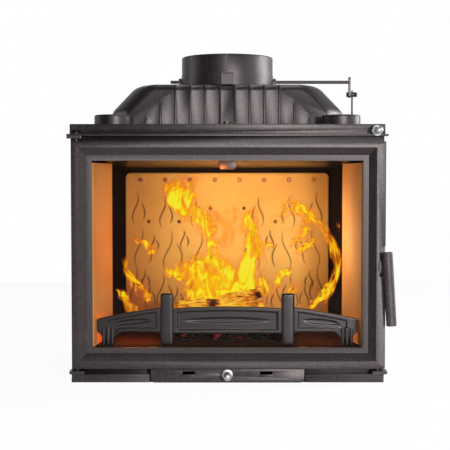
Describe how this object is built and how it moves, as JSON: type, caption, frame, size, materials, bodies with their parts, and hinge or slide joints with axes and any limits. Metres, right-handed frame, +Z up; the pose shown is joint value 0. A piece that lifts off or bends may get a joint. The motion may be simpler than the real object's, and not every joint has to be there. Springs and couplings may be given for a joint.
{
  "type": "fireplace insert",
  "caption": "Wood-burning fireplace insert: glazed side-hinged door, lined firebox with a log guard, smoke dome, flue collar with throttle damper and pull knobs.",
  "frame": {"origin": "on the underside of the base, on the plane of symmetry of the carcass, 200 mm behind the plane of the door's face", "axes": "+Z up along the flue collar's axis, +Y to the back, +X to the right seen from the front, where the door handle is"},
  "size_m": [0.6548, 0.4314, 0.67],
  "materials": {
    "painted_cast_iron": "matt anthracite stove paint over sand-cast iron",
    "bare_cast_iron": "heat-darkened sand-cast iron",
    "painted_steel": "matt anthracite stove paint",
    "fired_clay": "matt fired clay",
    "bright_steel": "plain turned steel",
    "dark_steel": "heat-darkened steel",
    "zinc_plated_sheet": "zinc-plated sheet steel",
    "chrome": "polished chrome",
    "ceramic_glass": "clear heat-proof glass",
    "glass_tape": "woven glass-fibre tape",
    "glass_rope": "braided glass-fibre rope"
  },
  "bodies": {
    "stove_body": {"base_plate": "painted_steel", "plinth_left": "painted_cast_iron", "plinth_right": "painted_cast_iron", "air_intake_cover": "painted_cast_iron", "side_wall_left": "painted_steel", "side_wall_right": "painted_steel", "rear_wall": "painted_steel", "front_frame": "painted_cast_iron", "frame_screws": "dark_steel", "top_plate": "painted_cast_iron", "header_lip": "painted_cast_iron", "smoke_dome": "painted_cast_iron", "dome_bolts": "dark_steel", "flue_collar": "painted_cast_iron", "collar_screws": "dark_steel", "cap_left": "painted_cast_iron", "cap_right": "painted_cast_iron", "tie_rods": "dark_steel", "tie_rod_nuts": "dark_steel", "hearth_plate": "bare_cast_iron", "grate": "bare_cast_iron", "ash_pan": "zinc_plated_sheet", "log_guard": "bare_cast_iron", "side_liner_left": "fired_clay", "side_liner_right": "fired_clay", "back_liner": "fired_clay", "back_liner_studs": "bright_steel", "baffle_plate": "bare_cast_iron", "baffle_hooks": "painted_steel", "hinge_bracket_top": "painted_cast_iron", "hinge_bracket_bottom": "painted_cast_iron", "hinge_pin_top": "bright_steel", "hinge_pin_bottom": "bright_steel", "door_rest_pad": "painted_cast_iron", "latch_keeper": "painted_steel", "pull_rod_guide": "painted_steel"},
    "door": {"door_frame": "painted_cast_iron", "door_glass": "ceramic_glass", "glass_gasket": "glass_tape", "glass_clips": "zinc_plated_sheet", "clip_screws": "dark_steel", "door_rope": "glass_rope", "handle_bracket": "painted_cast_iron", "bracket_screws": "dark_steel"},
    "door_handle": {"handle_grip": "painted_steel", "handle_lever": "painted_steel", "latch_hook": "painted_steel", "latch_nut": "dark_steel"},
    "damper": {"damper_blade": "bare_cast_iron", "damper_shaft": "dark_steel", "crank_arm": "dark_steel", "clamp_bolt": "dark_steel", "clamp_nut": "dark_steel", "lever_rod": "dark_steel"},
    "damper_pull": {"damper_rod": "dark_steel", "damper_knob": "chrome"},
    "air_slide": {"air_shutter": "painted_steel", "air_rod": "dark_steel", "air_knob": "chrome"}
  },
  "joints": [
    {"name": "door_hinge", "type": "hinge", "parent": "stove_body", "child": "door", "pos_m": [-0.301, -0.192, 0.255], "axis": [0, 0, -1], "range_deg": [0, 105]},
    {"name": "handle_turn", "type": "hinge", "parent": "door", "child": "door_handle", "pos_m": [0.311, -0.18, 0.233], "axis": [0, -1, 0], "range_deg": [-15, 60]},
    {"name": "damper_turn", "type": "hinge", "parent": "stove_body", "child": "damper", "pos_m": [0, 0.03, 0.618], "axis": [-1, 0, 0], "range_deg": [0, 32]},
    {"name": "damper_slide", "type": "slide", "parent": "stove_body", "child": "damper_pull", "axis": [0, -1, 0], "range_m": [0, 0.07]},
    {"name": "air_control", "type": "slide", "parent": "stove_body", "child": "air_slide", "axis": [0, -1, 0], "range_m": [0, 0.045]}
  ],
  "couplings": [
    {"joint": "damper_slide", "follows": "damper_turn", "m_per_rad": 0.1253}
  ]
}
